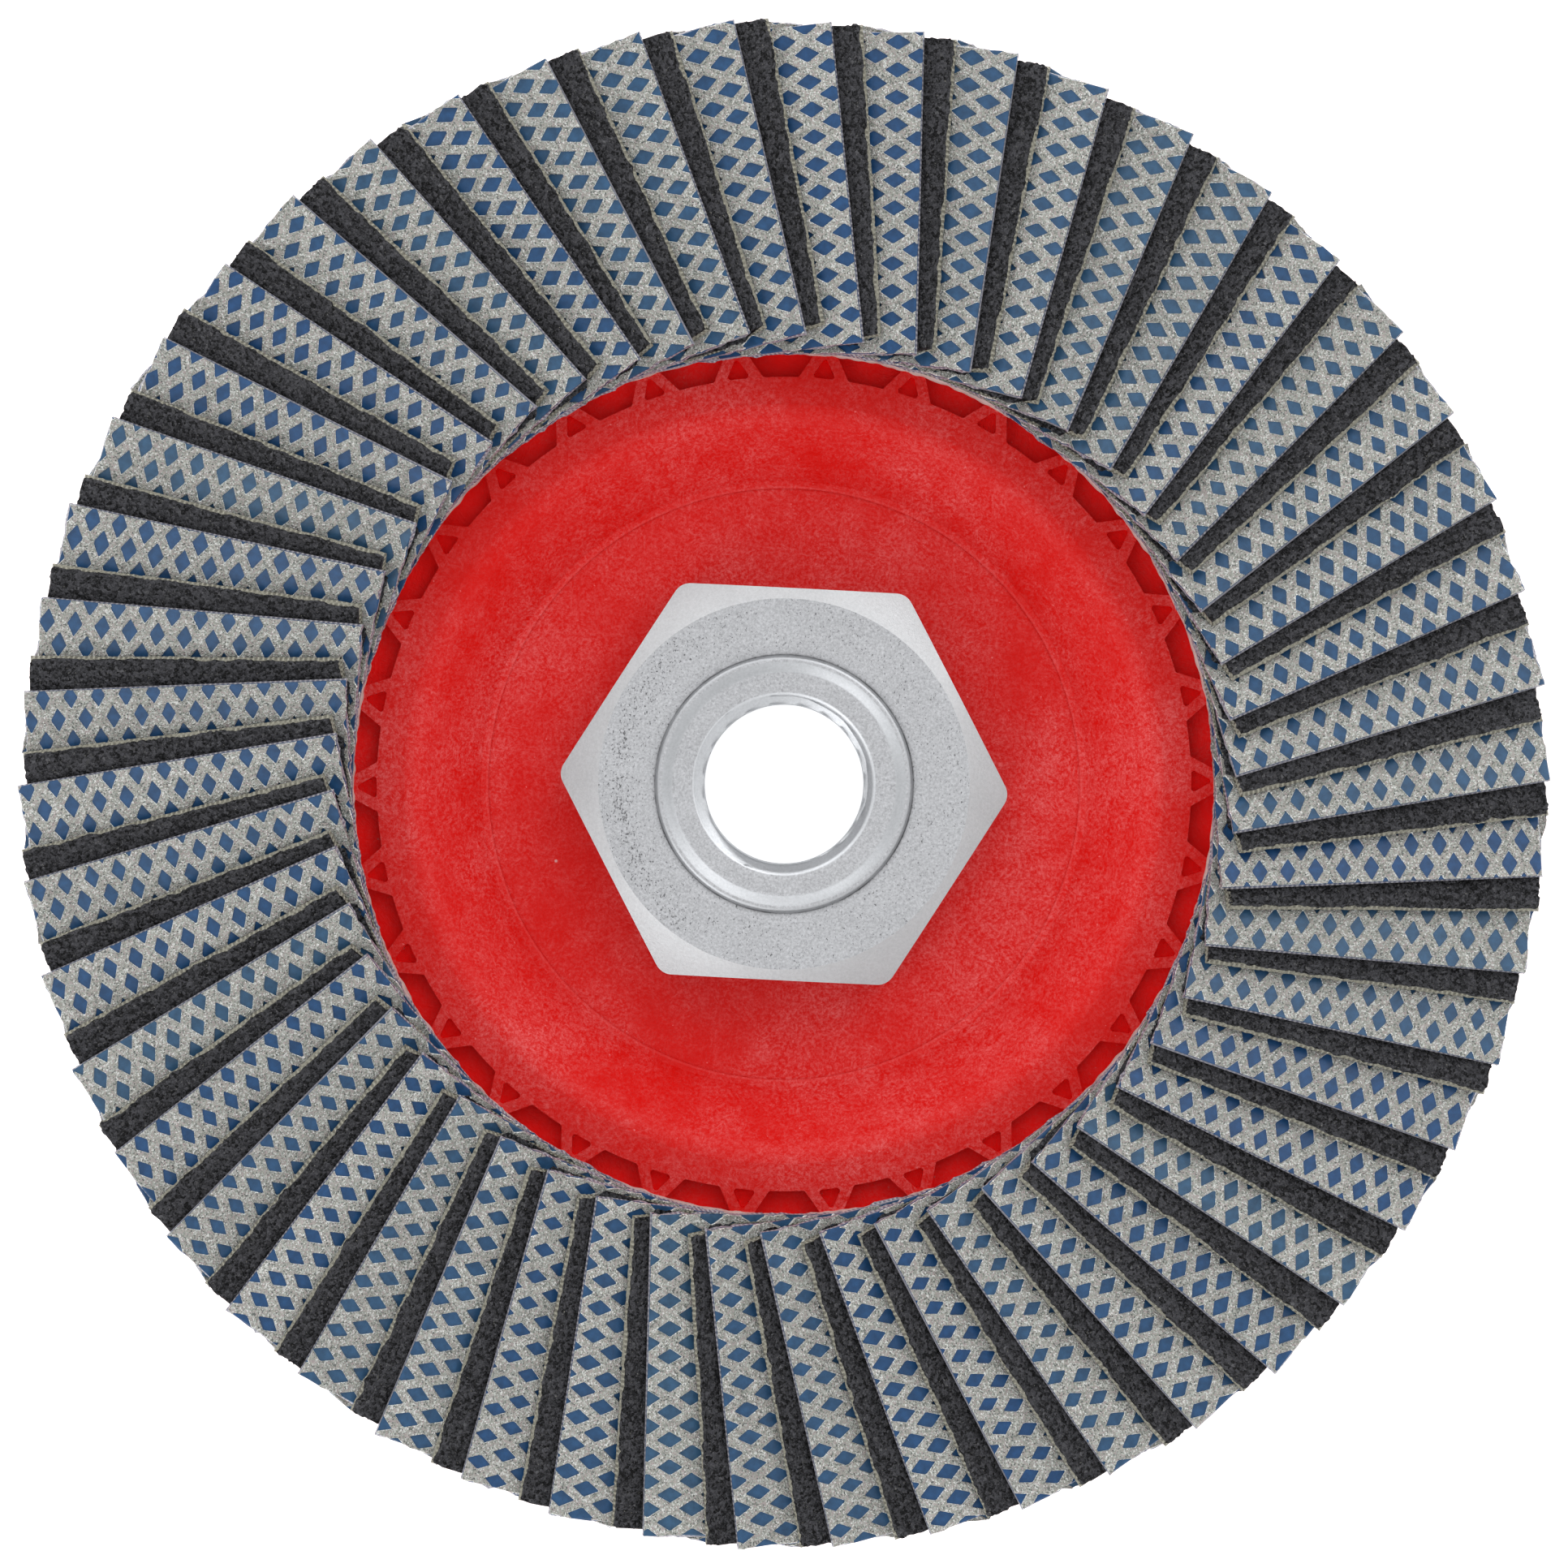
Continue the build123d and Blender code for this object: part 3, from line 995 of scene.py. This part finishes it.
def zinc_material(name, pitted, smooth_colour, smooth_roughness):
    """Zinc-plated steel: satin, grained on its flat faces, with dark specks in the plating."""
    paint = Painter(name)
    place = paint.metres()
    x, y, z = paint.axes(place)
    out = paint.radius(x, y)
    upward = paint.axes(paint.node("ShaderNodeNewGeometry").outputs["Normal"])[2]
    flat = paint.spread(paint.math("ABSOLUTE", upward), 0.968, 0.982)

    fine = paint.noise(place, 4600.0, 4.0, 0.8)
    cloud = paint.noise(place, 260.0, 3.0, 0.5)
    grain = paint.times(
        paint.spread(fine, 0.3, 0.7, -0.32, 0.28),
        paint.spread(flat, 0.0, 1.0, 0.35, 1.0),
    )
    level = paint.plus(grain, 1.0, paint.spread(cloud, 0.3, 0.7, -0.03, 0.03))
    colour = paint.tone(paint.mix(flat, smooth_colour, linear(179, 180, 183)), level)

    near = paint.times(
        paint.rest(paint.spread(paint.gap(out, PITTED_RADIUS), 0.0, PITTED_REACH)),
        paint.spread(x, *PITTED_SIDE),
        0.09,
    )
    specks = paint.noise(paint.scaled(place, 1, 0.7, 1), 6200.0, 2.0, 0.6)
    pits = paint.times(paint.spread(paint.plus(specks, near), 0.62, 0.72), pitted, flat)
    colour = paint.mix(pits, colour, linear(84, 84, 86))
    # Painted shade: a dark line in the crevice between the sleeve's lip and the collar.
    crevice_shade = paint.times(
        paint.spread(paint.gap(out, CREVICE_RADIUS), *CREVICE_WIDTH),
        paint.above(z, CREVICE_LEVEL),
        paint.spread(paint.noise(place, 330.0, 3.0, 0.6), 0.35, 0.62, 0.15, 0.75),
    )
    colour = paint.mix(crevice_shade, colour, linear(60, 60, 62))
    # Painted light: the mouth and the bore are painted up to 1.35 times paler.
    paint.shade(
        Base_Color=paint.tone(colour, paint.spread(out, *MOUTH_LIGHT_FADE, 1.0, 1.35)),
        Metallic=0.8,
        Roughness=paint.spread(flat, 0.0, 1.0, smooth_roughness, 0.52),
        Normal=paint.bump(fine, 0.00002),
    )
    return paint.material


def glue_material():
    """Cured glue: pale, slightly pink, glossy."""
    paint = Painter("cured_glue")
    place = paint.metres()
    cloud = paint.noise(place, 900.0, 3.0, 0.6)
    paint.shade(
        Base_Color=paint.mix(cloud, linear(170, 120, 116), linear(212, 190, 184)),
        Roughness=paint.spread(cloud, 0.3, 0.7, 0.25, 0.4),
        Normal=paint.bump(cloud, 0.0001),
    )
    return paint.material


def floor_material():
    """Pale, lit from within so that it reads white under the disc."""
    paint = Painter("pale_floor")
    paint.shade(
        Base_Color=linear(244, 244, 244),
        Roughness=0.8,
        Emission_Color=(1.0, 1.0, 1.0, 1.0),
        Emission_Strength=FLOOR_GLOW,
    )
    return paint.material


# --- build ---------------------------------------------------------------------------------------


def paint_node(name, material):
    """A CAD node keeps its shape and gets a material."""
    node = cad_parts[name]
    node.data.materials.clear()
    node.data.materials.append(material)
    node.data.shade_smooth()
    node.data.set_sharp_from_angle(angle=math.radians(CAD_SMOOTH))


def add_light(name, place, size, power):
    """A soft square light that faces the disc and isn't seen by the camera."""
    data = bpy.data.lights.new(name, "AREA")
    data.size = size
    data.energy = power
    light = bpy.data.objects.new(name, data)
    light.location = place
    light.rotation_euler = (-Vector(place)).to_track_quat("-Z", "Y").to_euler()
    light.visible_camera = False
    bpy.context.scene.collection.objects.link(light)


def add_floor():
    """A wide plain floor just under the disc."""
    level = CAD_BOX[0].z - FLOOR_GAP
    data = bpy.data.meshes.new("floor")
    signs = ((-1, -1), (1, -1), (1, 1), (-1, 1))
    data.from_pydata([(x * FLOOR_REACH, y * FLOOR_REACH, level) for x, y in signs], [], [(0, 1, 2, 3)])
    data.materials.append(floor_material())
    floor = bpy.data.objects.new("floor", data)
    bpy.context.scene.collection.objects.link(floor)


def add_world():
    """White surroundings."""
    world = bpy.data.worlds.new("studio")
    world.use_nodes = True
    background = world.node_tree.nodes["Background"]
    background.inputs["Color"].default_value = (1.0, 1.0, 1.0, 1.0)
    background.inputs["Strength"].default_value = WORLD_STRENGTH
    bpy.context.scene.world = world


def add_camera():
    """The camera, which looks straight down on the working face."""
    lens_data = bpy.data.cameras.new("camera")
    lens_data.sensor_width = SENSOR_WIDTH
    lens_data.lens = SENSOR_WIDTH * (CAMERA_HEIGHT - FRAMED_LEVEL) / FRAMED_WIDTH
    lens_data.clip_start = 0.05
    lens_data.clip_end = 20.0
    camera = bpy.data.objects.new("camera", lens_data)
    camera.location = (0.0, 0.0, CAMERA_HEIGHT)
    camera.rotation_euler = (0.0, 0.0, CAMERA_ROLL)
    scene = bpy.context.scene
    scene.collection.objects.link(camera)
    scene.camera = camera
    scene.view_settings.view_transform = "Standard"


generator = np.random.default_rng(SEED)
zinc_sleeve = zinc_material("zinc_sleeve", 0.35, linear(178, 180, 183), 0.32)
paint_node("backing_plate", plastic_material())
paint_node("hex_collar", zinc_material("zinc_collar", 0.9, linear(203, 206, 208), 0.48))
make_sleeve(zinc_sleeve)
make_glue(glue_material(), generator)
add_flaps(
    DIAMOND, diamond_strip, diamond_material(), DIAMOND_SMOOTH, generator
)
add_flaps(GRIT, grit_strip, grit_material(), GRIT_SMOOTH, generator)
add_floor()
add_world()
for light in LIGHTS:
    add_light(*light)
add_camera()
